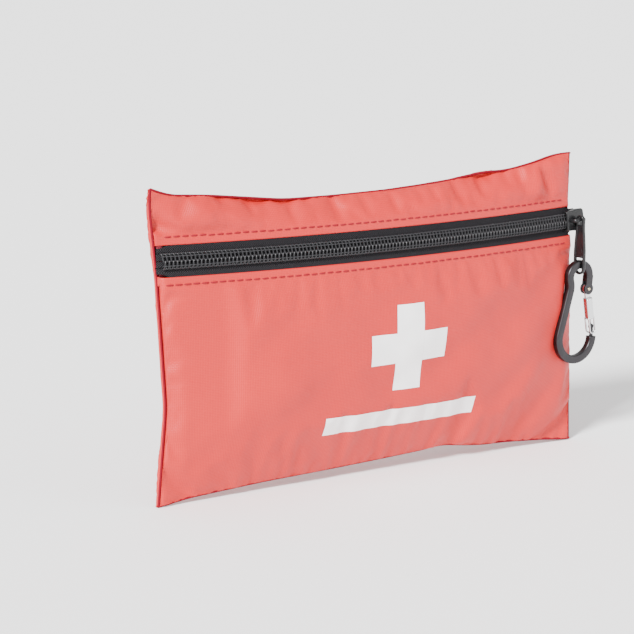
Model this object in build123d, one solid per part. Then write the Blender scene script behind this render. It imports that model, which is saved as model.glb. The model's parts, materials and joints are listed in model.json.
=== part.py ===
"""First aid kit: a small soft zip pouch with a coil zipper across its front, a clip on the zip pull, and the kit inside.

Millimetres. +Z is up, the printed front faces -Y, and the origin is at the bottom centre of the whole kit's box.
The pouch is worked out about its own middle plane, and everything is shifted to the origin as it is written.
"""

import math
import os

from build123d import *

# ---------------------------------------------------------------- pouch
WIDTH = 190.0
HEIGHT = 120.0
CLOTH = 0.6  # thickness of the coated cloth
FRONT_DEPTH = 11.5  # how far the front stands out at the zipper's middle
BACK_DEPTH = 11.5
BULGE_Z = 68.0  # height where the front stands out most
BACK_Z = 56.0
END_FALL = 0.78  # share of its depth that the pouch has lost at its ends
BOTTOM_RISE = 5.0  # how far the bottom seam is drawn up between its corners
TOP_DROP = 7.0  # how far the top seam is drawn down between its corners
ROLL_LOW = 8.0  # height over which the cloth turns in to the bottom seam
ROLL_TOP = 9.0
SECTION_POINTS = 28
SEAM_GAP = 0.08  # half the gap between front and back at the seams
BINDING_W = 4.4
BINDING_Z = (21.0, 76.0)
SHIFT = Vector(-2.633, 0.98, 0.0)  # moves the pouch so that the origin is under the middle of the kit

# ---------------------------------------------------------------- zipper
ZIP_Z = 94.0  # height of the chain's centre line
ZIP_R = 480.0  # the chain bows outwards on an arc of this radius
ZIP_TILT = 8.0  # degrees that the zipper's face leans back
BAND_FLAT = 9.5  # the front keeps to the zipper's cone this far from the chain
BAND_BLEND = 14.0
TAPE_BACK = 1.2  # tape's middle behind the cloth's face
TAPE_T = 0.6
TAPE_W = 10.4  # one tape's reach from the centre line
TAPE_GAP = 0.3  # half the gap between the two tapes
COIL_W = 3.1  # one coil's reach from the centre line
COIL_H = 2.2
COIL_GAP = 0.05
HEM = 6.4  # cloth's folded edge from the centre line
CHAIN_END_X = 93.2  # where the chain and tapes go into the side seams
STITCH_FROM_HEM = 2.4
STITCH_T = 0.45
STITCH_LIFT = 0.22
ZIP_AXIS_Y = ZIP_R - FRONT_DEPTH + TAPE_BACK  # the arc's vertical axis, behind the pouch

# ---------------------------------------------------------------- slider
SLIDER_X = 89.8
SLIDER_L = 11.4
SLIDER_W = 9.2
SLIDER_PLATE = 0.9
SLIDER_GAP = 0.35  # running room round the chain
POST_X = (1.2, 3.4, 4.9)  # the diamond post's point, shoulders and end, from the slider's middle
POST_W = 1.15  # half its width
PARTED_W = 1.35  # half the gap between tapes beside it
CROWN_L = 8.4
CROWN_LEG = 1.5
BEAM_R = 0.8  # the crown's round beam that carries the pull
EYE_R = 1.15  # the pull's eye round that beam
EYE_WALL = 0.85
EYE_CLEAR = 0.8  # room between the eye and the slider's plate

# ---------------------------------------------------------------- pull tab
PULL_L = 18.2  # beam to the clip's bar in the long hole
PULL_T = 1.4
PULL_END_W = 5.7
PULL_HOLE_W = 4.1
PULL_HOLE_L = 5.4
PULL_PANEL_W = 3.0
PULL_PANEL_SINK = 0.35
EYE_SLOT = 3.2

# ---------------------------------------------------------------- carabiner, in its own plane, from the point it hangs by
CLIP_W = 3.4  # section in its plane
CLIP_T = 3.0
CLIP_BEVEL = 0.5
CLIP_SMALL_R = 5.2  # centre lines
CLIP_WAIST_R = 7.0
CLIP_WAIST_AT = 200.0  # degrees round the small loop where the waist begins
CLIP_BIG_R = 9.1
CLIP_BIG_Z = -30.6
CLIP_NOSE_AT = 2.0
CLIP_TURN = 5.6  # degrees that it is turned with the pouch's end
CLIP_LEAN = 3.0  # degrees that it hangs out of plumb
GATE_W = 3.2
GATE_T = 3.0
GATE_PIN = (4.9, -10.4)
GATE_END = (8.7, -28.0)
GATE_START = 4.2  # from the pin to the round top of the gate's bar
GATE_CLEAR = 0.35
HINGE_R = 2.3
FORK_R = 2.9
FORK_T = 1.3
TONGUE_T = 1.0
PIN_R = 0.6

# ---------------------------------------------------------------- print
CROSS_AT = (6.9, 54.0)
CROSS_SPAN = 34.7
CROSS_BAR = 11.75
CROSS_TURN = -3.0
PRINT_T = 0.12
INK_GAP = 0.02


# ================================================================ the pouch's shape
def smooth(a, b, t):
    """0 before a, 1 after b, and an even S between them."""
    s = min(1.0, max(0.0, (t - a) / (b - a)))
    return s * s * (3 - 2 * s)


def bottom_z(x):
    return BOTTOM_RISE * (1 - abs(2 * x / WIDTH) ** 2.2)


def top_z(x):
    return HEIGHT - TOP_DROP * (1 - abs(2 * x / WIDTH) ** 2.2)


def sagitta(x):
    """How far the zipper's arc has fallen back at x."""
    return ZIP_R - math.sqrt(ZIP_R**2 - x * x)


def rolled(distance, roll):
    """A quarter ellipse: 0 at a seam, 1 at the distance roll from it."""
    s = min(1.0, max(0.0, distance / roll))
    return math.sqrt(1 - (1 - s) ** 2)


def front_depth(x, z):
    """How far the front stands out from the middle plane. Across the zipper it is a cone about the arc's axis."""
    lean = math.tan(math.radians(ZIP_TILT))
    fall = lean / (2 * (ZIP_Z - BULGE_Z))
    crown = FRONT_DEPTH + fall * (ZIP_Z - BULGE_Z) ** 2
    body = (crown - fall * (z - BULGE_Z) ** 2) * (1 - END_FALL * abs(2 * x / WIDTH) ** 2.6)
    band = FRONT_DEPTH - (z - ZIP_Z) * lean - sagitta(x)
    near = 1 - smooth(BAND_FLAT, BAND_BLEND, abs(z - ZIP_Z))
    return body * (1 - near) + band * near


def back_depth(x, z):
    high = 1 - ((z - BACK_Z) / (HEIGHT - 18)) ** 2
    return BACK_DEPTH * high * (1 - END_FALL * abs(2 * x / WIDTH) ** 2.4)


def half_section(x, inset, side):
    """Front (side -1) or back (side 1) of the pouch's outline at x: a curve from seam to seam, closed by a straight."""
    low, high = bottom_z(x) + inset, top_z(x) - inset
    depth = front_depth if side < 0 else back_depth
    flat = side * SEAM_GAP - (side * CLOTH if inset > 0 else 0)
    points = []
    for k in range(SECTION_POINTS + 1):
        z = low + (high - low) * (1 - math.cos(math.pi * k / SECTION_POINTS)) / 2
        out = (depth(x, z) - inset - side * flat) * rolled(z - low, ROLL_LOW) * rolled(high - z, ROLL_TOP)
        points.append((x, flat + side * out, z))
    return Wire([Spline(*points), Line(points[-1], points[0])])


def half_lens(inset, side):
    """Half of the pouch as a closed solid, drawn in by inset all round: sections at stations across it, lofted."""
    reach = WIDTH / 2 - inset
    stations = [reach * math.sin(math.radians(a)) for a in range(-90, 91, 12)]
    return Solid.make_loft([half_section(x, inset, side) for x in stations])


def make_panels():
    """Front above and below the zipper, and back, as separate cuts of cloth, with the seams' binding tape inside."""
    front = half_lens(0.0, -1) - half_lens(CLOTH, -1)
    back = half_lens(0.0, 1) - half_lens(CLOTH, 1)
    hem = HEM * math.cos(math.radians(ZIP_TILT))
    tall = 2 * HEIGHT
    below = Pos(0, 0, ZIP_Z - hem - tall / 2) * Box(2 * WIDTH, tall, tall)
    above = Pos(0, 0, ZIP_Z + hem + tall / 2) * Box(2 * WIDTH, tall, tall)
    side, low = SLIDER_W / 2 + SLIDER_GAP, CHANNEL_FLOOR - SLIDER_PLATE - SLIDER_GAP
    back -= SLIDER_AT * slab(0, SLIDER_L, low, 0, -side, side)  # the seam gives way behind the parked slider
    parts = {"front_lower_panel": front & below, "front_upper_panel": front & above, "back_panel": back}
    for name, side in (("left", -1), ("right", 1)):
        x = side * (WIDTH / 2 - CLOTH - BINDING_W / 2 - 0.4)
        low, high = BINDING_Z
        parts[f"side_seam_binding_{name}"] = block(x, 0, (low + high) / 2, BINDING_W, 1.0, high - low)
    return parts


# ================================================================ the white print on the lower front
def make_print():
    """A thin layer of ink in the form of a plain cross, which lies on the front panel."""
    cross = Rectangle(CROSS_SPAN, CROSS_BAR) + Rectangle(CROSS_BAR, CROSS_SPAN)
    prism = extrude(Plane.XZ * cross, amount=40)
    prism = Pos(CROSS_AT[0], 0, CROSS_AT[1]) * Rot(0, -CROSS_TURN, 0) * prism
    ink = (half_lens(-PRINT_T - INK_GAP, -1) & prism) - half_lens(-INK_GAP, -1)
    return {"printed_cross": ink}


# ================================================================ the zipper, as sections turned about its axis
def zip_place(n, w, angle=0.0):
    """Point n out from the tape and w up across it, at an angle round the arc."""
    t = math.radians(ZIP_TILT)
    out = ZIP_R + n * math.cos(t) - w * math.sin(t)
    up = ZIP_Z + n * math.sin(t) + w * math.cos(t)
    a = math.radians(angle)
    return Vector(out * math.sin(a), ZIP_AXIS_Y - out * math.cos(a), up)


def arc_angle(x):
    return math.degrees(math.asin(x / ZIP_R))


def zip_strip(n_low, n_high, w_low, w_high):
    """A strip of rectangular section that follows the zipper's arc from one side seam to the other."""
    half = arc_angle(CHAIN_END_X)
    corners = [(n_low, w_low), (n_high, w_low), (n_high, w_high), (n_low, w_high)]
    outline = Face(Wire(Polyline([zip_place(n, w, -half) for n, w in corners], close=True)))
    return revolve(outline, Axis((0, ZIP_AXIS_Y, 0), (0, 0, 1)), 2 * half)


def make_zipper():
    """Tapes and coils, parted round the slider's post, and the two rows of topstitching."""
    top = TAPE_T / 2
    parted = SLIDER_AT * slab(POST_X[0] - 0.3, SLIDER_L, -2, 4, -PARTED_W, PARTED_W)
    parts = {}
    for name, sign in (("upper", 1), ("lower", -1)):
        tape = zip_strip(-top, top, *sorted((sign * TAPE_GAP, sign * TAPE_W)))
        coil = zip_strip(top, top + COIL_H, *sorted((sign * COIL_GAP, sign * COIL_W)))
        parts[f"zip_tape_{name}"] = tape - parted
        parts[f"zip_coil_{name}"] = coil - parted
        line = sign * (HEM + STITCH_FROM_HEM)
        face = TAPE_BACK + STITCH_LIFT
        parts[f"topstitch_{name}"] = zip_strip(face, face + STITCH_T, line - STITCH_T / 2, line + STITCH_T / 2)
    return parts


# ================================================================ the slider and its pull, in the slider's own frame
# x runs along the chain to the right, -y out from the tape, z up across it
SLIDER_TURN = arc_angle(SLIDER_X)
SLIDER_AT = (
    Pos(0, ZIP_AXIS_Y, ZIP_Z) * Rot(0, 0, SLIDER_TURN) * Pos(0, -ZIP_R, 0) * Rot(-ZIP_TILT, 0, 0)
)
CHANNEL_TOP = TAPE_T / 2 + COIL_H + SLIDER_GAP
CHANNEL_FLOOR = -TAPE_T / 2 - SLIDER_GAP
PLATE_TOP = CHANNEL_TOP + SLIDER_PLATE
BEAM_OUT = PLATE_TOP + EYE_R + EYE_WALL + EYE_CLEAR


def slab(x0, x1, n0, n1, w0, w1):
    """A block in the slider's frame between two places along, out and across."""
    return Pos((x0 + x1) / 2, -(n0 + n1) / 2, (w0 + w1) / 2) * Box(x1 - x0, n1 - n0, w1 - w0)


def plate_outline():
    """Seen from the front: narrow where the closed chain goes in, wide shoulders at the other end."""
    h, tail, wide = SLIDER_L / 2, SLIDER_W / 2 - 0.55, SLIDER_W / 2
    upper = [(-h, tail), (-1.0, tail), (1.6, wide), (h - 0.8, wide), (h, wide - 0.9)]
    lower = [(x, -z) for x, z in reversed(upper)]
    return Plane.XZ * make_face(Polyline(*upper, *lower, close=True))


def make_slider():
    """Two plates joined by the diamond post, which parts the coils, and the arch that carries the pull."""
    plates = extrude(plate_outline(), amount=PLATE_TOP)
    plates += extrude(plate_outline(), amount=CHANNEL_FLOOR - SLIDER_PLATE)
    inside = SLIDER_L / 2 + 1
    half = COIL_W + SLIDER_GAP
    chain = slab(-inside, inside, CHANNEL_FLOOR, CHANNEL_TOP, -half, half)
    slot = slab(-inside, inside, CHANNEL_FLOOR, TAPE_T / 2 + SLIDER_GAP, -SLIDER_W, SLIDER_W)
    body = plates - chain - slot
    near, mid, far = POST_X
    post = Plane.XZ * make_face(Polyline((near, 0), (mid, POST_W), (far, 0), (mid, -POST_W), close=True))
    body += Pos(0, -CHANNEL_FLOOR, 0) * extrude(post, amount=CHANNEL_TOP - CHANNEL_FLOOR)
    top = BEAM_OUT + BEAM_R
    arch = Pos(0, (PLATE_TOP + top) / 2) * Rectangle(CROWN_L, top - PLATE_TOP)
    arch = fillet(arch.vertices().group_by(Axis.Y)[-1], 1.5)
    window = Pos(0, (PLATE_TOP + BEAM_OUT) / 2 - 1) * Rectangle(CROWN_L - 2 * CROWN_LEG, BEAM_OUT - PLATE_TOP + 2)
    legs = Rot(180, 0, 0) * extrude(arch - window, amount=BEAM_R, both=True)
    span = CROWN_L - 2 * CROWN_LEG
    legs -= slab(-span / 2, span / 2, BEAM_OUT - 2, top + 1, -2, 2)
    beam = Pos(0, -BEAM_OUT, 0) * Rot(0, 90, 0) * Cylinder(BEAM_R, span)
    return {"slider_body": SLIDER_AT * body, "slider_crown": SLIDER_AT * (legs + beam)}


BEAM_AT = Pos(*(SLIDER_AT * Pos(0, -BEAM_OUT, 0)).position) * Rot(0, 0, SLIDER_TURN)
LINK_AT = BEAM_AT * Pos(0, 0, -PULL_L)  # where the clip's bar lies in the pull's long hole


def make_pull():
    """Flat tab with an eye round the beam, a sunk panel, and a long hole for the clip. Its face looks along the chain."""
    eye_out, end = EYE_R + EYE_WALL, PULL_END_W / 2
    foot = -PULL_L - PULL_HOLE_L / 2  # lowest point of the long hole
    wide_from, round_from = -PULL_L + 4.5, foot + 1.4
    tip = foot - 1.25
    side = [(end, round_from), (end, wide_from), (eye_out, -3.5), (eye_out, 0)]
    other = [(-x, z) for x, z in reversed(side)]
    outline = Polyline(*side) + ThreePointArc(side[-1], (0, eye_out), other[0])
    outline += Polyline(*other) + ThreePointArc(other[-1], (0, tip), side[0])
    eye = Pos(0, EYE_R - EYE_SLOT / 2) * SlotOverall(EYE_SLOT, 2 * EYE_R, rotation=90)
    hole = Pos(0, -PULL_L) * SlotOverall(PULL_HOLE_L, PULL_HOLE_W, rotation=90)
    tab = extrude(Plane.YZ * (make_face(outline) - eye - hole), amount=PULL_T / 2, both=True)
    top, low = EYE_R - EYE_SLOT - 1.6, -PULL_L + PULL_HOLE_L / 2 + 1.3
    panel = Pos(0, (top + low) / 2) * RectangleRounded(PULL_PANEL_W, top - low, 0.6)
    for sign in (1, -1):
        floor = Plane.YZ.offset(sign * (PULL_T / 2 - PULL_PANEL_SINK))
        tab -= extrude(floor * panel, amount=sign * 1.0)
    return {"pull_tab": BEAM_AT * tab}


# ================================================================ the carabiner
CLIP_AT = Pos(*LINK_AT.position) * Rot(0, 0, CLIP_TURN) * Rot(0, CLIP_LEAN, 0)


def round_point(centre, radius, degrees):
    a = math.radians(degrees)
    return (centre[0] + radius * math.cos(a), centre[1] + radius * math.sin(a))


def heading_to(start, centre, radius):
    """Degrees of the straight run from start that meets a circle which it then follows to the left."""
    dx, dz = centre[0] - start[0], centre[1] - start[1]
    return math.degrees(math.atan2(dz, dx) - math.asin(radius / math.hypot(dx, dz)))


def clip_path():
    """The body's centre line: from the gate's pin over the small loop, in at the waist, down the spine to the nose."""
    small, big = (0.0, -CLIP_SMALL_R), (0.0, CLIP_BIG_Z)
    rise = heading_to(GATE_PIN, small, CLIP_SMALL_R)
    waist = round_point(small, CLIP_SMALL_R + CLIP_WAIST_R, CLIP_WAIST_AT)
    spine = heading_to(waist, big, CLIP_BIG_R + CLIP_WAIST_R) + 360

    def on_small(a):
        return round_point(small, CLIP_SMALL_R, a)

    def on_waist(a):
        return round_point(waist, CLIP_WAIST_R, a)

    def on_big(a):
        return round_point(big, CLIP_BIG_R, a)

    waist_from, waist_to = CLIP_WAIST_AT - 180, spine - 270
    return [
        Line(GATE_PIN, on_small(rise - 90)),
        ThreePointArc(on_small(rise - 90), on_small(90), on_small(CLIP_WAIST_AT)),
        ThreePointArc(on_waist(waist_from), on_waist((waist_from + waist_to) / 2), on_waist(waist_to)),
        Line(on_waist(waist_to), on_big(spine - 90)),
        ThreePointArc(on_big(spine - 90), on_big(270), on_big(360 + CLIP_NOSE_AT)),
    ]


def rod(radius, length, x, z, y=0.0):
    """A round rod through the carabiner's plane."""
    return Pos(x, y, z) * Rot(90, 0, 0) * Cylinder(radius, length)


def gate_line(start, end=None):
    """A run along the gate, from a distance below the pin to another, or to its free end."""
    (x0, z0), (x1, z1) = GATE_PIN, GATE_END
    length = math.hypot(x1 - x0, z1 - z0)
    end = length if end is None else end
    ux, uz = (x1 - x0) / length, (z1 - z0) / length
    return Line((x0 + ux * start, z0 + uz * start), (x0 + ux * end, z0 + uz * end))


def make_clip():
    """The bent bar, with a fork for the gate's hinge at one end and a thin nose at the other, and the hinge pin."""
    bar = extrude(Plane.XZ * trace(Wire(clip_path()), CLIP_W), amount=CLIP_T / 2, both=True)
    rims = [e for e in bar.edges() if abs(abs(e.center().Y) - CLIP_T / 2) < 0.01]
    bar = chamfer(rims, CLIP_BEVEL)
    px, pz = GATE_PIN
    body = bar + rod(HINGE_R, CLIP_T, px, pz)
    body -= extrude(Plane.XZ * trace(gate_line(GATE_START), GATE_W + 2 * GATE_CLEAR), amount=CLIP_T, both=True)
    body -= rod(FORK_R, FORK_T, px, pz)
    body -= rod(PIN_R, CLIP_T + 2, px, pz)
    nose = round_point((0, CLIP_BIG_Z), CLIP_BIG_R, CLIP_NOSE_AT - 16)
    tip = (GATE_END[0] + 0.1, GATE_END[1] + 2.2)
    body += extrude(Plane.XZ * trace(Line(nose, tip), 1.7), amount=TONGUE_T / 2, both=True)
    body += rod(1.0, TONGUE_T, *tip)
    pin = rod(PIN_R - 0.02, CLIP_T + 0.3, px, pz)
    for sign in (1, -1):
        pin += rod(PIN_R + 0.25, 0.3, px, pz, sign * (CLIP_T / 2 + 0.16))
    return {"carabiner_body": CLIP_AT * body, "gate_pivot_pin": CLIP_AT * pin}


def make_gate():
    """The sprung gate: a bar with a tongue round the pin, a slot for the nose, and its spring in a bore."""
    (x0, z0), (x1, z1) = GATE_PIN, GATE_END
    lean = math.degrees(math.atan2(x1 - x0, z0 - z1))
    bar = extrude(Plane.XZ * trace(gate_line(GATE_START), GATE_W), amount=GATE_T / 2, both=True)
    rims = [e for e in bar.edges() if abs(abs(e.center().Y) - GATE_T / 2) < 0.01]
    bar = chamfer(rims, CLIP_BEVEL)
    bar -= Pos(x1 + 1.2, 0, z1 + 0.6) * Rot(0, -lean, 0) * Box(4.2, TONGUE_T + 0.6, 6.8)
    bar += extrude(Plane.XZ * trace(gate_line(0, GATE_START), GATE_W), amount=TONGUE_T / 2, both=True)
    bar -= rod(PIN_R + 0.03, GATE_T + 2, x0, z0)
    bore = gate_line(5.6, 11.8)
    at = Pos(bore.center().X, 0, bore.center().Y) * Rot(0, -lean, 0)
    bar -= at * Cylinder(0.75, bore.length)
    spring = at * (Cylinder(0.68, bore.length - 0.3) - Cylinder(0.4, bore.length))
    return {"carabiner_gate": CLIP_AT * bar, "gate_spring": CLIP_AT * spring}


# ================================================================ what the pouch holds
def block(x, y, z, sx, sy, sz, r=0.0):
    """A box about a point, with its edges along Y rounded by r."""
    made = Box(sx, sy, sz)
    if r:
        made = fillet(made.edges().filter_by(Axis.Y), r)
    return Pos(x, y, z) * made


def scissor_half(side, y):
    """One half: blade to the left, finger loop to the right, in a thin layer at y."""
    blade = make_face(Polyline(
        (-36, 0.2 * side), (-3, 3.0 * side), (3, 3.0 * side), (22, -3.0 * side), (24, -6.5 * side),
        (18, -5.5 * side), (2, -2.6 * side), (-4, -1.2 * side), close=True))
    loop = Pos(31, -9.2 * side) * (Ellipse(9.5, 8.2) - Ellipse(6.8, 5.6))
    flat = blade + loop - Circle(1.25)
    return Pos(*SCISSORS_AT) * Pos(0, y, 0) * extrude(Plane.XZ * flat, amount=0.35, both=True)


SCISSORS_AT = (-6.0, 0.0, 50.0)


def make_contents():
    parts = {}
    for name, x in (("left", -63.0), ("right", 63.0)):
        roll = extrude(Ellipse(11.5, 5.6), amount=22, both=True)
        parts[f"gauze_bandage_{name}"] = Pos(x, 0.4, 50) * roll
    parts["triangular_bandage"] = block(-17, -4.2, 54, 60, 5.0, 48, 5)
    dressings = [block(-17, -0.6 + 2.0 * k, 54, 58, 1.85, 48, 4) for k in range(3)]
    parts["wound_dressings"] = Compound(children=dressings)
    strips = [block(-17, 4.75 + 0.8 * k, z, 58, 0.7, 19, 3) for k in range(3) for z in (42, 63)]
    parts["sticking_plasters"] = Compound(children=strips)
    tape_at = Pos(32, -0.6, 43) * Rot(90, 0, 0)
    parts["adhesive_tape_roll"] = tape_at * (Cylinder(15, 10) - Cylinder(10.5, 10))
    parts["adhesive_tape_core"] = tape_at * (Cylinder(10.4, 10.4) - Cylinder(9.2, 10.4))
    wipes = [block(32, -5.6 + 1.9 * k, 72, 32, 1.7, 24, 3) for k in range(5)]
    parts["antiseptic_wipes"] = Compound(children=wipes)
    parts["scissors_half_fixed"] = scissor_half(1, 7.6)
    parts["scissors_half_moving"] = scissor_half(-1, 8.5)
    rivet = Cylinder(1.2, 1.8) + Pos(0, 0, 1.0) * Cylinder(2.1, 0.3) + Pos(0, 0, -1.0) * Cylinder(2.1, 0.3)
    parts["scissors_rivet"] = Pos(*SCISSORS_AT) * Pos(0, 8.05, 0) * Rot(90, 0, 0) * rivet
    arms = make_face(Polyline(
        (-38, 1.2), (30, 3.0), (37, 0.9), (37, 0.25), (30, 2.0), (-34, 0.0), (30, -2.0), (37, -0.25),
        (37, -0.9), (30, -3.0), (-38, -1.2), close=True))
    parts["tweezers"] = Pos(-18, 5.4, 24) * extrude(Plane.XZ * arms, amount=1.0, both=True)
    ring = SlotOverall(26, 6) - SlotOverall(24.4, 4.4)
    pins = [Pos(35, 5.6, z) * extrude(Plane.XZ * ring, amount=0.4, both=True) for z in (20.5, 28, 35.5)]
    parts["safety_pins"] = Compound(children=pins)
    return parts


def main():
    os.makedirs("parts", exist_ok=True)
    parts = {}
    for make in (make_panels, make_print, make_zipper, make_slider, make_pull, make_clip, make_gate, make_contents):
        parts.update(make())
    for name, shape in parts.items():
        export_step(Pos(*SHIFT) * shape, f"parts/{name}.step")
    boxes = [shape.bounding_box() for shape in parts.values()]
    low = [min(tuple(b.min)[i] for b in boxes) + tuple(SHIFT)[i] for i in range(3)]
    high = [max(tuple(b.max)[i] for b in boxes) + tuple(SHIFT)[i] for i in range(3)]
    print("box", [round(v, 3) for v in low], [round(v, 3) for v in high])
    print("slider turn", round(SLIDER_TURN, 3), "arc axis y", round(ZIP_AXIS_Y + SHIFT.Y, 3))
    places = {
        "beam": BEAM_AT,
        "link": LINK_AT,
        "gate pin": CLIP_AT * Pos(GATE_PIN[0], 0, GATE_PIN[1]),
        "big loop": CLIP_AT * Pos(0, 0, CLIP_BIG_Z),
    }
    for label, at in places.items():
        print(label, [round(v, 3) for v in at.position + SHIFT])


main()
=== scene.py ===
"""A small red first aid pouch: sewn cloth, a coil zipper with its slider, pull and clip, and supplies.

Shapes are worked out in millimetres about the pouch's middle, seen from the front: x to the right, y
backwards, z up. place() carries them to the frame, in metres.
"""

import json
import math

import bmesh
import bpy
import numpy as np
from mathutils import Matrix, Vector


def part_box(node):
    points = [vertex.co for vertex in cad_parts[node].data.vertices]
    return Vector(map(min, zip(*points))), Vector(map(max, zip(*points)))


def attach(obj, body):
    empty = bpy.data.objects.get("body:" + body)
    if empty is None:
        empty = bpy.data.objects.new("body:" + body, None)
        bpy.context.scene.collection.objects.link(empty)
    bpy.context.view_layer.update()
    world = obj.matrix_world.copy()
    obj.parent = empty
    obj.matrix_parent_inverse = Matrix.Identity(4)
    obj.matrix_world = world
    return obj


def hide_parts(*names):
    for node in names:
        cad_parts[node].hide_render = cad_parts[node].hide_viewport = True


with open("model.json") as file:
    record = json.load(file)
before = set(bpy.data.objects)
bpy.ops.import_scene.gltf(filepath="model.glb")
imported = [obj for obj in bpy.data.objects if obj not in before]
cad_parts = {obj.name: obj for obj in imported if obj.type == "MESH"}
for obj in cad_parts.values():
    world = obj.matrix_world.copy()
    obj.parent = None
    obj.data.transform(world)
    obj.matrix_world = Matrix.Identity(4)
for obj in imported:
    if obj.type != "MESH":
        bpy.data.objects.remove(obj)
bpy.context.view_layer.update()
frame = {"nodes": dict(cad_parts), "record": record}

MM = 0.001

# ------------------------------------------------------------------ the pouch, from the frame
BACK_LOW, BACK_HIGH = (np.array(c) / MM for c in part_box("back_panel"))
FRONT_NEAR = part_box("front_lower_panel")[1][1] / MM  # the front's sewn edge, in depth
SEAM_GAP = (BACK_LOW[1] - FRONT_NEAR) / 2
MIDDLE = np.array([(BACK_LOW[0] + BACK_HIGH[0]) / 2, (BACK_LOW[1] + FRONT_NEAR) / 2, BACK_LOW[2]])
HALF = (BACK_HIGH[0] - BACK_LOW[0]) / 2
HEIGHT = BACK_HIGH[2] - BACK_LOW[2]
BACK_DEPTH = BACK_HIGH[1] - MIDDLE[1]



def joint_at(name):
    """A joint's place, in the pouch's own millimetres."""
    joint = next(j for j in frame["record"]["behaviour"]["joints"] if j["name"] == name)
    return np.array(joint["pos_m"]) / MM - MIDDLE


ZIP_Z, AXIS_Y = joint_at("slider_travel")[2], joint_at("slider_travel")[1]
ZIP_R = 480.0  # the chain's arc about that axis
ZIP_TILT = math.radians(8.0)
FRONT_DEPTH = 11.5
BULGE_Z, BACK_Z = 68.0, 56.0  # heights where front and back stand out most
END_FALL = 0.78  # share of its depth that the pouch has lost at its ends
HEM = 6.4  # the cloth's folded edge, from the chain's middle
TAPE_BACK, TAPE_T = 1.2, 0.6
PITCH = 1.5  # one tooth to the next


def place(points):
    """From the pouch's own millimetres to the frame's metres."""
    return (np.asarray(points, float) + MIDDLE) * MM


# ------------------------------------------------------------------ shader expressions
class Value:
    """A socket, or a number, that adds a Math node for each operation on it."""

    def __init__(self, tree, socket):
        self.tree, self.socket = tree, socket

    def math(self, operation, *others):
        return self.tree.add("ShaderNodeMath", {"operation": operation}, [self, *others])["Value"]

    def __add__(self, other):
        return self.math("ADD", other)

    def __sub__(self, other):
        return self.math("SUBTRACT", other)

    def __mul__(self, other):
        return self.math("MULTIPLY", other)

    def __truediv__(self, other):
        return self.math("DIVIDE", other)

    def __rsub__(self, other):
        return (self * -1.0) + other

    __radd__ = __add__
    __rmul__ = __mul__

    def clip(self):
        return self.math("MAXIMUM", 0.0).math("MINIMUM", 1.0)


class Tree:
    """The nodes of one material, with its Principled shader."""

    def __init__(self, name, **constants):
        self.material = bpy.data.materials.new(name)
        self.material.use_nodes = True
        self.nodes, self.links = self.material.node_tree.nodes, self.material.node_tree.links
        self.shader = next(n for n in self.nodes if n.type == "BSDF_PRINCIPLED")
        for socket, value in constants.items():
            self.shader.inputs[socket.replace("_", " ")].default_value = value

    def add(self, kind, settings=None, inputs=()):
        """A node of a kind: its settings first, then values or links for its sockets, by order or by name."""
        node = self.nodes.new(kind)
        for key, value in (settings or {}).items():
            setattr(node, key, value)
        pairs = inputs.items() if isinstance(inputs, dict) else enumerate(inputs)
        for key, value in pairs:
            if isinstance(value, Value):
                self.links.new(value.socket, node.inputs[key])
            elif value is not None:
                node.inputs[key].default_value = value
        return {out.name: Value(self, out) for out in node.outputs}

    def feed(self, socket, value):
        self.links.new(value.socket, self.shader.inputs[socket])

    def place(self, scale=1.0, squeeze=(1, 1, 1)):
        """Object coordinates, in millimetres over scale."""
        at = self.add("ShaderNodeTexCoord")["Object"]
        size = [1 / MM / scale * s for s in squeeze]
        return self.add("ShaderNodeMapping", {}, {"Vector": at, "Scale": size})["Vector"]

    def uv(self, scale=1.0):
        """The piece's own UV map, which is in millimetres over 100, in millimetres over scale."""
        at = self.add("ShaderNodeUVMap", {"uv_map": "cloth"})["UV"]
        size = (100 / scale, 100 / scale, 1)
        return self.add("ShaderNodeMapping", {}, {"Vector": at, "Scale": size})["Vector"]

    def parts(self, vector):
        made = self.add("ShaderNodeSeparateXYZ", {}, [vector])
        return made["X"], made["Y"], made["Z"]

    def noise(self, vector, scale=1.0, detail=3.0, rough=0.5):
        inputs = {"Vector": vector, "Scale": scale, "Detail": detail, "Roughness": rough}
        return self.add("ShaderNodeTexNoise", {}, inputs)["Fac"]

    def wave(self, value):
        """A sine of a value in turns, from 0 to 1."""
        return (value * (2 * math.pi)).math("SINE") * 0.5 + 0.5

    def ramp(self, value, low, high):
        """0 below low, 1 above high."""
        inputs = {"Value": value, "From Min": low, "From Max": high}
        return self.add("ShaderNodeMapRange", {"clamp": True}, inputs)["Result"]

    def mix(self, share, first, second):
        """A colour between two colours."""
        self.add("ShaderNodeMix", {"data_type": "RGBA"})
        node = self.nodes[-1]
        for key, value in ((0, share), (6, first), (7, second)):
            socket = node.inputs[key]
            if isinstance(value, Value):
                self.links.new(value.socket, socket)
            else:
                socket.default_value = (*value, 1.0) if isinstance(value, tuple) else value
        return Value(self, node.outputs[2])

    def bump(self, height, strength, distance_mm):
        inputs = {"Strength": strength, "Distance": distance_mm * MM, "Height": height}
        self.feed("Normal", self.add("ShaderNodeBump", {}, inputs)["Normal"])


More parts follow.
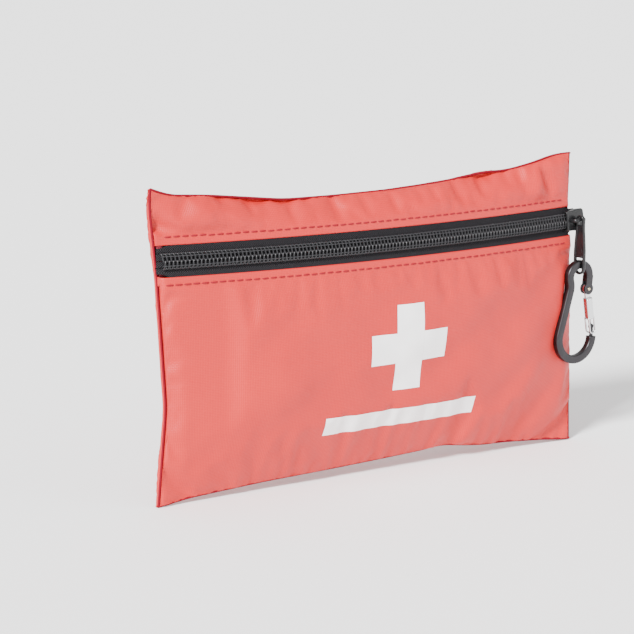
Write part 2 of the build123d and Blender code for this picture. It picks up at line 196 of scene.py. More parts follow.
# ------------------------------------------------------------------ finishes
def red_cloth():
    """Coated polyester: two sets of threads that cross, a slight diagonal grain, and a soft shine."""
    t = Tree("red_cloth", Specular_IOR_Level=0.4)
    x, y, _ = t.parts(t.uv())
    thread = 0.62
    warp, weft = t.wave(x / thread), t.wave(y / thread)
    over = t.wave((x + y) / (2 * thread))
    weave = warp * over + weft * (1 - over)
    blotch = t.noise(t.uv(26.0), 1.0, 4.0, 0.55)
    fine = t.noise(t.uv(1.3), 1.0, 2.0, 0.6)
    deep, pale = (0.40, 0.004, 0.007), (0.60, 0.024, 0.018)
    t.feed("Base Color", t.mix((weave * 0.55 + blotch * 0.35 + fine * 0.25).clip(), deep, pale))
    t.feed("Roughness", (0.52 - weave * 0.12 + fine * 0.06).clip())
    t.bump(weave + fine * 0.35, 0.45, 0.16)
    return t.material


def zip_tape_cloth():
    """Black woven tape: twill ribs that turn back along the middle of each side, as a herringbone."""
    t = Tree("zip_tape_cloth", Roughness=0.8, Specular_IOR_Level=0.06)
    x, y, _ = t.parts(t.uv())
    ribs = t.wave((x + y.math("PINGPONG", 2.1) * 1.25) / 0.86)
    ends = t.wave(x / 0.33) * 0.25
    fine = t.noise(t.uv(0.6), 1.0, 2.0, 0.6)
    height = ribs * 0.8 + ends + fine * 0.3
    t.feed("Base Color", t.mix((height * 1.3 - 0.35).clip(), (0.001, 0.001, 0.0012), (0.036, 0.034, 0.038)))
    t.bump(height, 1.0, 0.3)
    return t.material


def coil_nylon():
    """Drawn nylon filament, semi-matte, with paler streaks at random, drawn out along the chain."""
    t = Tree("coil_nylon", Specular_IOR_Level=0.4)
    streak = t.noise(t.place(0.5, squeeze=(0.3, 1, 1)), 1.0, 2.0)
    t.feed("Base Color", t.mix(streak, (0.003, 0.003, 0.0035), (0.018, 0.017, 0.02)))
    t.feed("Roughness", 0.26 + streak * 0.16)
    t.bump(streak, 0.2, 0.03)
    return t.material


def thread(name, dark, light):
    """Twisted sewing thread."""
    t = Tree(name, Roughness=0.6, Specular_IOR_Level=0.2)
    x, y, _ = t.parts(t.uv())
    ply = t.wave((x + y * 0.8) / 0.34)
    t.feed("Base Color", t.mix(ply, dark, light))
    t.bump(ply, 0.5, 0.06)
    return t.material


def white_ink():
    """Screen printed ink: slightly uneven, and the weave shows through it."""
    t = Tree("white_ink", Roughness=0.55, Specular_IOR_Level=0.35)
    x, y, _ = t.parts(t.uv())
    weave = t.wave(x / 0.62) * t.wave(y / 0.62)
    patch = t.noise(t.uv(5.0), 1.0, 4.0)
    t.feed("Base Color", t.mix(patch, (0.90, 0.885, 0.88), (0.97, 0.965, 0.96)))
    t.bump(weave * 0.7 + patch * 0.3, 0.3, 0.08)
    return t.material


def metal(name, low, high, rough, scale=1.6, metallic=1.0, wear=None, **constants):
    """A metal finish with fine uneven grain, small pits, and a wear tone in its high spots."""
    t = Tree(name, Metallic=metallic, **constants)
    cloud = t.noise(t.place(6.0 * scale), 1.0, 4.0, 0.6)
    grain = t.noise(t.place(0.35 * scale), 1.0, 3.0, 0.7)
    colour = t.mix((cloud * 0.5 + grain * 0.5).clip(), low, high)
    if wear:
        colour = t.mix(t.ramp(cloud * 0.6 + grain * 0.4, 0.56, 0.72) * 0.5, colour, wear)
    t.feed("Base Color", colour)
    t.feed("Roughness", (rough + (grain - 0.5) * 0.16 + (cloud - 0.5) * 0.12).clip())
    t.bump(grain * 0.6 + cloud * 0.4, 0.12, 0.03)
    return t.material


def paper(name, low, high, scale=1.0, crimp=0.0, rough=0.7):
    """Paper, card or sachet film: fibres, soft creases, and crimped lines where it is sealed."""
    t = Tree(name, Roughness=rough)
    fibre = t.noise(t.place(0.8 * scale), 1.0, 4.0, 0.65)
    crease = t.noise(t.place(9.0 * scale), 1.0, 3.0, 0.5)
    x, _, _ = t.parts(t.place(1.0))
    lines = t.wave(x / 1.2) * crimp
    t.feed("Base Color", t.mix((fibre * 0.5 + crease * 0.5).clip(), low, high))
    t.feed("Roughness", (rough - 0.1 + crease * 0.2).clip())
    t.bump(fibre * 0.4 + crease * 0.6 + lines, 0.35, 0.2)
    return t.material


def cotton(name, low, high, spacing):
    """Open cotton weave."""
    t = Tree(name, Roughness=0.85, Specular_IOR_Level=0.15)
    x, _, z = t.parts(t.place(1.0))
    weave = t.wave(x / spacing) * 0.5 + t.wave(z / spacing) * 0.5
    fluff = t.noise(t.place(2.2), 1.0, 4.0, 0.6)
    t.feed("Base Color", t.mix((weave * 0.6 + fluff * 0.4).clip(), low, high))
    t.bump(weave * 0.7 + fluff * 0.5, 0.6, 0.2)
    return t.material


# ------------------------------------------------------------------ making pieces
def piece(name, points, faces, finish, node=None, body="pouch", uv=None):
    """A mesh from points in the pouch's millimetres, riding on a body.

    uv is in millimetres, one pair for each point. node names the CAD node that the piece replaces.
    """
    mesh = bpy.data.meshes.new(name)
    mesh.from_pydata(place(points).tolist(), [], [tuple(int(i) for i in f) for f in faces])
    mesh.polygons.foreach_set("use_smooth", [True] * len(mesh.polygons))
    if uv is not None:
        layer = mesh.uv_layers.new(name="cloth")
        corner = np.empty(len(mesh.loops), np.int32)
        mesh.loops.foreach_get("vertex_index", corner)
        layer.data.foreach_set("uv", (np.asarray(uv)[corner] / 100).astype(np.float32).ravel())
    mesh.materials.append(finish)
    made = bpy.data.objects.new(name, mesh)
    bpy.context.scene.collection.objects.link(made)
    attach(made, body)
    if node:
        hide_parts(node)
    return made


def grid_faces(rows, cols, start=0, closed=False, flip=False):
    """Four-sided faces of rows by cols points, numbered row by row; closed joins last column to first."""
    r, c = np.meshgrid(np.arange(rows - 1), np.arange(cols if closed else cols - 1), indexing="ij")
    n = (c + 1) % cols
    faces = np.stack([r * cols + c, r * cols + n, (r + 1) * cols + n, (r + 1) * cols + c], -1)
    faces = faces.reshape(-1, 4) + start
    return faces[:, ::-1] if flip else faces


def cloth_piece(name, points, uv, finish, node, flip=False):
    """A piece from a grid of points (rows, cols, 3) and their places in the weave."""
    faces = grid_faces(*points.shape[:2], flip=flip)
    return piece(name, points.reshape(-1, 3), faces, finish, node, uv=uv.reshape(-1, 2))


def thicken(made, mm, offset=-1.0):
    wall = made.modifiers.new("wall", "SOLIDIFY")
    wall.thickness, wall.offset = mm * MM, offset
    wall.use_even_offset = False
    return made


def tubes(paths, radius, sides=6):
    """Round bars along many paths at once, each given as its points and the direction that faces out.

    ring point = path point + radius (cos a * side + sin a * rise), with closed pointed ends.
    """
    points, faces, uvs, start = [], [], [], 0
    angle = np.linspace(0, 2 * math.pi, sides, endpoint=False)
    for path, out in paths:
        along = np.gradient(path, axis=0)
        along /= np.linalg.norm(along, axis=1, keepdims=True)
        rise = out - (out * along).sum(1, keepdims=True) * along
        rise /= np.linalg.norm(rise, axis=1, keepdims=True)
        side = np.cross(along, rise)
        r = np.broadcast_to(np.asarray(radius, float), (len(path),)).copy()
        ring = side[:, None] * np.cos(angle)[:, None] + rise[:, None] * np.sin(angle)[:, None]
        ring = path[:, None] + ring * r[:, None, None]
        length = np.concatenate([[0], np.cumsum(np.linalg.norm(np.diff(path, axis=0), axis=1))])
        count = len(path)
        body = ring.reshape(-1, 3)
        caps = np.array([path[0] - along[0] * r[0] * 0.8, path[-1] + along[-1] * r[-1] * 0.8])
        points.append(np.vstack([body, caps]))
        uvs.append(np.vstack([
            np.stack([np.repeat(length, sides), np.tile(angle * r.mean(), count)], 1),
            [[0, 0], [length[-1], 0]],
        ]))
        faces.extend(grid_faces(count, sides, start, closed=True))
        first, last = start + count * sides, start + count * sides + 1
        for k in range(sides):
            faces.append((first, start + (k + 1) % sides, start + k))
            end = start + (count - 1) * sides
            faces.append((last, end + k, end + (k + 1) % sides))
        start += len(body) + 2
    return np.vstack(points), faces, np.vstack(uvs)


# ------------------------------------------------------------------ the pouch's surface
def smooth_step(a, b, t):
    s = np.clip((t - a) / (b - a), 0, 1)
    return s * s * (3 - 2 * s)


def rolled(distance, roll):
    """Quarter ellipse: 0 at a seam, 1 at the distance roll from it."""
    s = np.clip(distance / roll, 0, 1)
    return np.sqrt(np.maximum(1 - (1 - s) ** 2, 0))


def front_depth(u, x, z):
    """The filled front: a crown, lower towards the ends, that keeps to the zipper's cone near the chain."""
    lean = math.tan(ZIP_TILT)
    down = np.maximum(BULGE_Z - z, 0)
    crown = FRONT_DEPTH + 1.9 - 4.5e-5 * down**3 - 0.0027 * np.maximum(z - BULGE_Z, 0) ** 2
    body = crown * (1 - END_FALL * np.abs(u) ** 2.6)
    band = FRONT_DEPTH - (z - ZIP_Z) * lean - (ZIP_R - np.sqrt(ZIP_R**2 - x * x))
    near = 1 - smooth_step(9.5, 14.0, np.abs(z - ZIP_Z))
    return np.maximum(body * (1 - near) + band * near, 1.2)


def back_depth(x, z):
    high = 1 - ((z - BACK_Z) / (HEIGHT - 18)) ** 2
    return BACK_DEPTH * high * (1 - END_FALL * np.abs(x / HALF) ** 2.4)


def through(at, places):
    """A smooth curve through a few given pairs (place, value): straight runs, eased over 9 mm."""
    px, pv = np.array(places, float).T
    return sum(np.interp(at + d, px, pv) for d in (-4.5, -2.2, 0.0, 2.2, 4.5)) / 5


# the seams' outline: how far out each side is at a height, and how high top and bottom are along the width
LEFT_EDGE = [(-5, 97.4), (5, 96.6), (38, 93.3), (72, 95.2), (89, 96.2), (101, 97.4), (116, 98.8), (128, 97.0)]
RIGHT_EDGE = [(-5, 95.0), (17, 94.2), (60, 92.8), (86, 91.3), (101, 90.9), (110, 91.1), (128, 91.3)]
TOP_EDGE = [(-105, 125.0), (-95, 122.0), (-89, 118.9), (-72, 117.6), (-41, 113.6), (-20, 113.4), (6, 113.8),
            (31, 115.2), (51, 117.6), (62, 117.4), (76, 119.6), (87, 122.3), (105, 122.6)]
LOW_EDGE = [(-105, -1.1), (-95, -0.6), (-83, 1.2), (-52, 2.8), (-20, 3.6), (8, 4.6), (24, 5.3), (30, 6.3),
            (37, 5.0), (50, 3.3), (62, 2.9), (84, 1.0), (92, -0.2), (105, -0.7)]


def side_x(u, z):
    """Across: the share u of the way from the middle to the side's outline at that height."""
    return u * np.where(u < 0, through(z, LEFT_EDGE), through(z, RIGHT_EDGE))


def bottom_z(u):
    return through(u * HALF, LOW_EDGE)


def top_z(u):
    return through(u * HALF, TOP_EDGE)


ROLL_SIDE, ROLL_TOP, ROLL_LOW = 3.4, 8.0, 6.5  # the reach over which the cloth turns in to its seams
GROOVE, GROOVE_W = 1.0, 1.8  # the seam's groove: how far it is drawn in, and how wide


def bump_at(x, z, cx, cz, rx, rz, turn=0.0):
    """A soft round hill, 1 at its middle, rx and rz wide, turned in the front's plane."""
    a = math.radians(turn)
    dx, dz = x - cx, z - cz
    p = (dx * math.cos(a) + dz * math.sin(a)) / rx
    q = (-dx * math.sin(a) + dz * math.cos(a)) / rz
    return np.exp(-(p * p + q * q))


def facet(x, z, at_x, at_z, way, slope, soft, reach):
    """Cloth that turns away past a line: slope times the distance, eased over soft, fading at reach."""
    a = math.radians(way)
    past = -(x - at_x) * math.sin(a) + (z - at_z) * math.cos(a)
    run = (x - at_x) * math.cos(a) + (z - at_z) * math.sin(a)
    return -slope * soft * np.logaddexp(0, past / soft) * np.exp(-((run / reach) ** 2))


def front_folds(x, z):
    """Listed folds of the front, in mm outwards."""
    d = -2.2 * bump_at(x, z, -76, 22, 15, 13, 35) + 1.0 * bump_at(x, z, -56, 42, 30, 11, 50)
    d += 1.3 * bump_at(x, z, 60, 26, 24, 4.5, 52) - 1.5 * bump_at(x, z, 70, 18, 22, 5, 50)
    d -= 1.2 * bump_at(x, z, 33, 11, 3.0, 9, -8) - 0.8 * bump_at(x, z, 39, 11, 3.5, 9, -8)
    d += 0.7 * bump_at(x, z, 20, 68, 40, 9, 8) - 0.6 * bump_at(x, z, -30, 74, 30, 6, -6)
    d += facet(x, z, -66, 109, -20, 1.25, 1.0, 32) + facet(x, z, -86, 106, 122, 0.9, 1.0, 9)
    d += facet(x, z, 2, 108, 8, 0.8, 1.1, 26) + facet(x, z, 56, 108, 28, 1.0, 1.0, 15)
    d -= 1.3 * bump_at(x, z, -22, 110, 3.0, 6, 25) - 0.9 * bump_at(x, z, -14, 110, 4, 6, 20)
    d += 1.5 * bump_at(x, z, 71, 109, 3.0, 10, -14) - 2.2 * bump_at(x, z, 77, 111, 2.4, 8, 24)
    return d


def small_creases(x, z, seed):
    """Sums of waves in random directions, from 9 to 34 mm long, a few tenths of a millimetre high."""
    rng = np.random.default_rng(seed)
    d = np.zeros_like(x)
    for _ in range(26):
        length, way, at = rng.uniform(9, 34), rng.uniform(0, math.pi), rng.uniform(0, 2 * math.pi)
        tall = 0.006 * length * rng.uniform(0.4, 1.0)
        d += tall * np.sin(2 * math.pi * (x * math.cos(way) + z * math.sin(way)) / length + at)
    return d


def puckers(x, z, low, high, seed):
    """Short waves square to the top and bottom seams, which die out within about 9 mm of them."""
    rng = np.random.default_rng(seed)
    wave = np.zeros_like(x)
    for _ in range(5):
        tall = rng.uniform(0.4, 1.0)
        wave = wave + tall * np.sin(2 * math.pi * x / rng.uniform(5.5, 17) + rng.uniform(0, 6))
    return 0.2 * wave * (np.exp(-(((z - low) / 7) ** 2)) + np.exp(-(((high - z) / 7) ** 2)))


def surface(u, z, side):
    """Front (side -1) or back (side 1): the point of the cloth at share u across and height z."""
    low, high = bottom_z(u), top_z(u)
    x = side_x(u, z)
    from_side = (1 - np.abs(u)) * HALF
    fold_in = 0.5 * smooth_step(3.0, 0.0, from_side) if side < 0 else 0.0
    from_low, from_high = z - low, high - z
    depth = front_depth(u, x, z) if side < 0 else back_depth(u * HALF, z)
    swell = 1.3 * np.clip(1 - ((from_side - 2.3) / 2.3) ** 2, 0, 1) if side > 0 else 0.0
    folds = small_creases(x, z, 3 if side < 0 else 8) + puckers(x, z, low, high, 5)
    if side < 0:
        folds = folds + front_folds(x, z)
        folds = folds * smooth_step(9.6, 14.0, np.abs(z - ZIP_Z))
    roll = rolled(from_side, ROLL_SIDE) * rolled(from_low, ROLL_LOW) * rolled(from_high, ROLL_TOP)
    out = SEAM_GAP + (depth + folds) * roll
    tuck = GROOVE * np.clip(1 - from_side / GROOVE_W, 0, 1) ** 2
    x = x - np.sign(u) * (tuck - swell + fold_in)
    low_tuck, high_tuck = (np.clip(1 - d / GROOVE_W, 0, 1) ** 2 for d in (from_low, from_high))
    z = z + GROOVE * (low_tuck - high_tuck)
    return np.stack([x, side * out, z], -1)


CLOTH_STEP = 1.5


def spaced(length):
    """Places from 0 to length, close together at both ends and a cloth step apart between."""
    edge = np.array([0, 0.25, 0.5, 0.8, 1.15, 1.6, 2.2, 3.0, 4.0, 5.2, 6.6])
    count = int(math.ceil((length - 2 * edge[-1]) / CLOTH_STEP))
    middle = np.linspace(edge[-1], length - edge[-1], count + 1)[1:-1]
    return np.concatenate([edge, middle, (length - edge)[::-1]])


PULL_CLEAR_R = 482.9  # the cloth's limit from the chain's axis where the pull and clip hang over it


def behind_the_pull(points):
    """Holds the left end of the front back from the pull and clip.

    A smooth minimum of its radius about the chain's axis and a limit, which rises by 6 mm, out of the
    cloth's reach, between 72 and 56 mm left of the middle.
    """
    points = points.copy()
    radius = np.hypot(points[..., 0], AXIS_Y - points[..., 1])
    limit = PULL_CLEAR_R + 6 * smooth_step(-72, -56, points[..., 0])
    points[..., 1] += radius - limit + 0.3 * np.logaddexp(0, (limit - radius) / 0.3)
    return points


ACROSS = spaced(2 * HALF) / HALF - 1
HEM_Z = HEM * math.cos(ZIP_TILT)


def sewn_panel(name, side, rows, z_from, z_to, node, hem=0):
    """A cut of cloth from z_from(u) to z_to(u).

    hem is 1 or -1 where its last or first row is folded under at the zipper.
    """
    u = np.broadcast_to(ACROSS, (len(rows), len(ACROSS)))
    low, high = z_from(u), z_to(u)
    z = low + rows[:, None] * (high - low)
    points = surface(u, z, side)
    held = np.zeros(points.shape[:2])
    held[:, :3] = held[:, -3:] = 1
    held[(z - low if hem < 0 else high - z) < 0.6] = 1
    held[(high - z if hem < 0 else z - low) < 0.6] = 1
    if hem:
        held[np.abs(z - ZIP_Z) < HEM_Z + 3.6] = 1
    points = points + settle(points, held, side > 0, 7)
    if side < 0:
        points = behind_the_pull(points)
    if hem:
        edge = points[-1] if hem > 0 else points[0]
        t, radius = math.copysign(1.0, hem), 0.55
        turn = np.linspace(0, math.pi, 9)[1:]
        curl = [edge + [0, radius * (1 - math.cos(a)), t * radius * math.sin(a)] for a in turn]
        under = [curl[-1] + [0, 0.05 * k, -t * 1.4 * k] for k in range(1, 3)]
        extra = np.array(curl + under)
        points = np.concatenate([points, extra]) if hem > 0 else np.concatenate([extra[::-1], points])
    made = cloth_piece(name, points, points[..., [0, 2]], RED, node, flip=side > 0)
    thicken(made, 0.35)
    return points


def settle(points, held, flip, seed):
    """How a cut of cloth, a little larger than its sewn form, wrinkles when its contents press it out.

    The grid is simulated at ten times its size, without weight, pinned where held is 1. Its movement,
    at most 2.2 mm, is returned.
    """
    rng = np.random.default_rng(seed)
    rows, cols = points.shape[:2]
    start = points.reshape(-1, 3) + rng.normal(0, 0.03, (rows * cols, 3)) * (1 - held.reshape(-1, 1))
    mesh = bpy.data.meshes.new("cloth_to_settle")
    mesh.from_pydata((start * MM * 10).tolist(), [], grid_faces(rows, cols, flip=flip).tolist())
    cut = bpy.data.objects.new("cloth_to_settle", mesh)
    bpy.context.scene.collection.objects.link(cut)
    group = cut.vertex_groups.new(name="held")
    for level in (1.0, 0.5):
        chosen = np.nonzero(np.abs(held.ravel() - level) < 0.01)[0]
        group.add(chosen.tolist(), level, "REPLACE")
    cloth = cut.modifiers.new("cloth", "CLOTH")
    how = cloth.settings
    how.quality, how.mass, how.time_scale = 6, 0.3, 1.0
    how.tension_stiffness = how.compression_stiffness = 40
    how.shear_stiffness, how.bending_stiffness = 12, 0.35
    how.tension_damping = how.compression_damping = how.shear_damping = 12
    how.use_pressure, how.uniform_pressure_force = True, 1.2
    how.vertex_group_mass, how.pin_stiffness = "held", 50
    how.shrink_min = -0.022
    how.effector_weights.gravity = 0
    cloth.collision_settings.use_collision = False
    scene = bpy.context.scene
    cloth.point_cache.frame_start, cloth.point_cache.frame_end = 1, 16
    scene.frame_start, scene.frame_end = 1, 16
    for f in range(1, 17):
        scene.frame_set(f)
    seen = cut.evaluated_get(bpy.context.evaluated_depsgraph_get())
    got = np.empty(rows * cols * 3)
    seen.data.vertices.foreach_get("co", got)
    moved = got.reshape(-1, 3) / (MM * 10) - start
    bpy.data.objects.remove(cut)
    bpy.data.meshes.remove(mesh)
    scene.frame_set(1)
    length = np.linalg.norm(moved, axis=1, keepdims=True)
    moved *= np.minimum(1, 2.2 / np.maximum(length, 1e-6))
    return moved.reshape(rows, cols, 3) * (1 - held[..., None])


def make_pouch():
    hem_low, hem_high = ZIP_Z - HEM_Z, ZIP_Z + HEM_Z
    lower_rows = spaced(hem_low) / hem_low
    upper_rows = spaced(HEIGHT - hem_high) / (HEIGHT - hem_high)
    back_rows = spaced(HEIGHT) / HEIGHT

    def low_hem(u):
        return np.full_like(u, hem_low)

    def high_hem(u):
        return np.full_like(u, hem_high)

    lower = sewn_panel("lower_front_cloth", -1, lower_rows, bottom_z, low_hem, "front_lower_panel", hem=1)
    sewn_panel("upper_front_cloth", -1, upper_rows, high_hem, top_z, "front_upper_panel", hem=-1)
    sewn_panel("back_cloth", 1, back_rows, bottom_z, top_z, "back_panel")
    return lower_rows, lower


# ------------------------------------------------------------------ the zipper
def zip_point(x, n, w):
    """A point of the zipper, on a cone about the far axis: x along the chain, n out from it, w up across."""
    out = ZIP_R + n * math.cos(ZIP_TILT) - w * math.sin(ZIP_TILT)
    a = np.arcsin(np.clip(x / ZIP_R, -1, 1))
    up = ZIP_Z + n * math.sin(ZIP_TILT) + w * math.cos(ZIP_TILT)
    return np.stack(np.broadcast_arrays(out * np.sin(a), AXIS_Y - out * np.cos(a), up), -1)


CHAIN_LEFT, CHAIN_RIGHT = -95.4, 89.8
TAPE_W = 8.2


def make_tape(sign):
    """Flat woven tape that follows the chain; its ends narrow and dive into the side seams."""
    x = np.linspace(CHAIN_LEFT, CHAIN_RIGHT, 160)[:, None]
    w = sign * np.array([0.1, 0.6, 1.2, 2.0, 3.0, 4.2, 5.4, 6.6, 7.4, TAPE_W])[None, :]
    narrow = 1 - 0.42 * (smooth_step(9, 1, x - CHAIN_LEFT) + smooth_step(7, 0, CHAIN_RIGHT - x))
    w = np.where(np.abs(w) > 3, w * narrow, w)
    points = zip_point(x, TAPE_T / 2 + 0 * w, w)
    points[..., 1] *= rolled(np.minimum(x - CHAIN_LEFT, CHAIN_RIGHT - x) + 0.6, 4.0)
    uv = np.stack(np.broadcast_arrays(x, w), -1)
    name = "upper" if sign > 0 else "lower"
    tape = cloth_piece(f"zip_tape_cloth_{name}", points, uv, TAPE, f"zip_tape_{name}", sign < 0)
    thicken(tape, 0.5)


def make_coil(sign):
    """A filament wound round and round, one turn for each tooth, and the two rows that sew it down.

    w = 1.35 + 1.55 cos t across and n = 0.72 sin t out, both flattened, with a thicker head where it locks
    into the other side.
    """
    turns = int((CHAIN_RIGHT - CHAIN_LEFT - 4) / PITCH)
    per = 18
    t = np.arange(turns * per + 1) * (2 * math.pi / per)
    along = CHAIN_LEFT + 1.5 + t * PITCH / (2 * math.pi) + (0.5 * PITCH if sign < 0 else 0)
    c, s = np.cos(t), np.sin(t)
    flat_c, flat_s = np.sign(c) * np.abs(c) ** 0.7, np.sign(s) * np.abs(s) ** 0.7
    w = sign * (1.35 + 1.55 * flat_c)
    head = np.exp(-(((c + 1) / 0.35) ** 2))
    n = TAPE_T / 2 + 1.1 + 0.72 * flat_s + 0.15 * head * (s > 0)
    along = along - 0.3 * c * (s > 0) + 0.1 * np.sin(2 * t)
    path = zip_point(along, n, w)
    radius = 0.3 + 0.12 * head
    out = np.broadcast_to([0.0, -1.0, 0.2], path.shape)
    points, faces, uv = tubes([(path, out)], radius, sides=7)
    name = "upper" if sign > 0 else "lower"
    piece(f"coil_teeth_{name}", points, faces, COIL, f"zip_coil_{name}", uv=uv)
    rows = []
    for w_row in (1.75, 2.75):
        x = np.arange(CHAIN_LEFT + 2, CHAIN_RIGHT - 3.5, PITCH / 6)
        lift = 0.12 * np.cos(2 * math.pi * (x + (0.5 * PITCH if sign < 0 else 0)) / PITCH)
        path = zip_point(x, TAPE_T / 2 + 2.02 + lift - (0.35 if w_row > 2 else 0), sign * w_row)
        rows.append((path, np.broadcast_to([0, -1, 0.0], path.shape)))
    points, faces, uv = tubes(rows, 0.17, sides=5)
    piece(f"coil_sewing_{name}", points, faces, BLACK_THREAD, uv=uv)


STITCH = 3.3


def make_topstitch(sign):
    """Separate stitches, each an arched run of thread that dips into the cloth at both ends."""
    name = "upper" if sign > 0 else "lower"
    line = sign * (HEM + 2.4)
    paths = []
    rng = np.random.default_rng(11 + sign)
    for x0 in np.arange(CHAIN_LEFT + 3, CHAIN_RIGHT - 4, STITCH):
        x = x0 + np.linspace(0, STITCH * 0.8, 7)
        s = np.linspace(-1, 1, 7)
        lift = 0.24 - 0.5 * s**4
        path = zip_point(x, TAPE_BACK + lift, line + rng.normal(0, 0.06) + 0.05 * s)
        paths.append((path, np.broadcast_to([0.0, -1.0, 0.0], path.shape)))
    points, faces, uv = tubes(paths, 0.26, sides=6)
    piece(f"stitches_{name}", points, faces, RED_THREAD, f"topstitch_{name}", uv=uv)


def make_seam_fold_shade():
    """The fold of sewn cloth in the groove all round, where front and back meet: a loop by the four edges. It
    closes the gap between the panels, and its dark red is painted shade of the groove.
    """
    t = np.linspace(-1, 1, 150)
    inset = GROOVE * 0.95
    z = np.linspace(0, 1, 90)[1:-1]
    upper = np.stack([side_x(t, top_z(t)) * (1 - inset / HALF), top_z(t) - inset], 1)
    lower = np.stack([side_x(t, bottom_z(t)) * (1 - inset / HALF), bottom_z(t) + inset], 1)
    sides = []
    for sign in (1.0, -1.0):
        e = np.full_like(z, sign)
        height = bottom_z(e) + z * (top_z(e) - bottom_z(e))
        sides.append(np.stack([side_x(e, height) - sign * (inset + 0.1), height], 1))
    loop = np.vstack([lower, sides[0], upper[::-1], sides[1][::-1]])
    path = np.stack([loop[:, 0], np.zeros(len(loop)), loop[:, 1]], 1)
    points, faces = sweep(path, [0, -1, 0], rounded_bar(0.9, 0.9, 0.44, 3), closed=True)
    # its finish is painted shade: a dark red for the shade in the groove
    piece("seam_fold_painted_shade", points, faces, SEAM_FOLD_SHADE)


def make_seam_bindings():
    """Narrow woven tape inside each side seam, folded over the raw edges: a U across, straight along."""
    for name, sign in (("left", -1), ("right", 1)):
        z = np.linspace(16, 104, 60)[:, None]
        t = np.linspace(0, 1, 13)[None, :]
        edge = side_x(np.full_like(z, sign), z) - sign * 1.6
        x = edge - sign * (0.6 + 2.2 * np.abs(2 * t - 1))
        y = 0.42 * np.sin((t - 0.5) * math.pi) * (1 + 0.2 * np.sin(z / 5))
        points = np.stack(np.broadcast_arrays(x, y, z), -1)
        uv = np.stack(np.broadcast_arrays(t * 8, z), -1)
        tape = cloth_piece(f"seam_binding_tape_{name}", points, uv, BINDING,
                           f"side_seam_binding_{name}", sign > 0)
        thicken(tape, 0.2, 0.0)


# ------------------------------------------------------------------ the print
def cloth_at(x, z):
    """The settled grid's point that had the place x, z before it settled, read between four grid points."""
    u = x / np.where(x < 0, through(z, LEFT_EDGE), through(z, RIGHT_EDGE))
    low = bottom_z(u)
    r = np.interp((z - low) / (ZIP_Z - HEM_Z - low), LOWER_ROWS, np.arange(len(LOWER_ROWS)))
    c = np.interp(u, ACROSS, np.arange(len(ACROSS)))
    r0 = np.clip(r.astype(int), 0, len(LOWER_ROWS) - 2)
    c0 = np.clip(c.astype(int), 0, len(ACROSS) - 2)
    fr, fc = (r - r0)[..., None], (c - c0)[..., None]
    near = LOWER_CLOTH[r0, c0] * (1 - fr) + LOWER_CLOTH[r0 + 1, c0] * fr
    far = LOWER_CLOTH[r0, c0 + 1] * (1 - fr) + LOWER_CLOTH[r0 + 1, c0 + 1] * fr
    return near * (1 - fc) + far * fc


def on_cloth(x, z, lift):
    """The settled lower cloth's point seen at x and z, lifted off it: its place is sought in 5 steps."""
    seek_x, seek_z = x, z
    for _ in range(5):
        at = cloth_at(seek_x, seek_z)
        seek_x, seek_z = seek_x + x - at[..., 0], seek_z + z - at[..., 2]
    return np.stack([x, at[..., 1] - lift, z], -1)


def ink(name, bands, node=None, lift=0.1):
    """Thin ink. A band is two matching edges (k, 2) in the front's plane, filled across by a grid."""
    points, faces, uv, start = [], [], [], 0
    for n, (one, other) in enumerate(bands):
        t = np.linspace(0, 1, max(3, int(np.abs(one - other).max() / 0.8) + 2))[None, :, None]
        flat = one[:, None] * (1 - t) + other[:, None] * t
        grid = on_cloth(flat[..., 0], flat[..., 1], lift + 0.012 * (n % 4))
        across = np.cross(one[1] - one[0], other[0] - one[0])
        points.append(grid.reshape(-1, 3))
        uv.append(flat.reshape(-1, 2))
        faces.extend(grid_faces(*grid.shape[:2], start, flip=across > 0))
        start += len(points[-1])
    piece(name, np.vstack(points), faces, INK, node, uv=np.vstack(uv))


CROSS_AT = (4.7, 53.6)
CROSS_SPAN, CROSS_BAR = 34.2, 12.0
BAR = (-34.7, 34.7, -32.4, -25.0)  # left, right, low and high, from the cross's middle


def make_print():
    """A plain cross of equal arms over a plain bar, on the lower front."""
    s, b = CROSS_SPAN / 2, CROSS_BAR / 2
    steps = np.linspace(0, 1, 26)[:, None]

    def block(x0, x1, z0, z1):
        low, high = np.array([x0, z0]), np.array([x0, z1])
        wide = np.array([x1 - x0, 0.0])
        one = low * (1 - steps) + high * steps
        edges = np.array([one, one + wide])
        edges[..., 0] += 0.02 * edges[..., 1]
        return edges + CROSS_AT

    ink("cross_print", [block(-b, b, -s, s), block(-s, -b, -b, b), block(b, s, -b, b)], "printed_cross")
    x0, x1, z0, z1 = BAR
    ink("bar_print", [block(x0, x1, z0, z1)])


# ------------------------------------------------------------------ metal parts
def sweep(path, out, profile, closed=False):
    """A bar of one section along a path: point = path + side * a + out * b for each (a, b) of the profile."""
    if closed:
        along = np.roll(path, -1, axis=0) - np.roll(path, 1, axis=0)
    else:
        along = np.gradient(path, axis=0)
    along /= np.linalg.norm(along, axis=1, keepdims=True)
    out = np.broadcast_to(np.asarray(out, float), path.shape)
    rise = out - (out * along).sum(1, keepdims=True) * along
    rise /= np.linalg.norm(rise, axis=1, keepdims=True)
    side = np.cross(along, rise)
    ring = path[:, None] + side[:, None] * profile[None, :, :1] + rise[:, None] * profile[None, :, 1:]
    rows, cols = ring.shape[:2]
    points, count = ring.reshape(-1, 3), len(profile)
    if closed:
        return points, (grid_faces(rows + 1, cols, closed=True) % (rows * cols)).tolist()
    faces = grid_faces(rows, cols, closed=True).tolist()
    inner = [end.mean(0) + (end - end.mean(0)) * 0.8 for end in (ring[0], ring[-1])]
    points = np.vstack([points, *inner, inner[0].mean(0), inner[1].mean(0)])
    a, b = rows * cols, rows * cols + count
    last = (rows - 1) * cols
    for k in range(count):
        n = (k + 1) % count
        faces += [(a + k, a + n, n, k), (a + n, a + k, b + count), (last + k, last + n, b + n, b + k),
                  (b + k, b + n, b + count + 1)]
    return points, faces


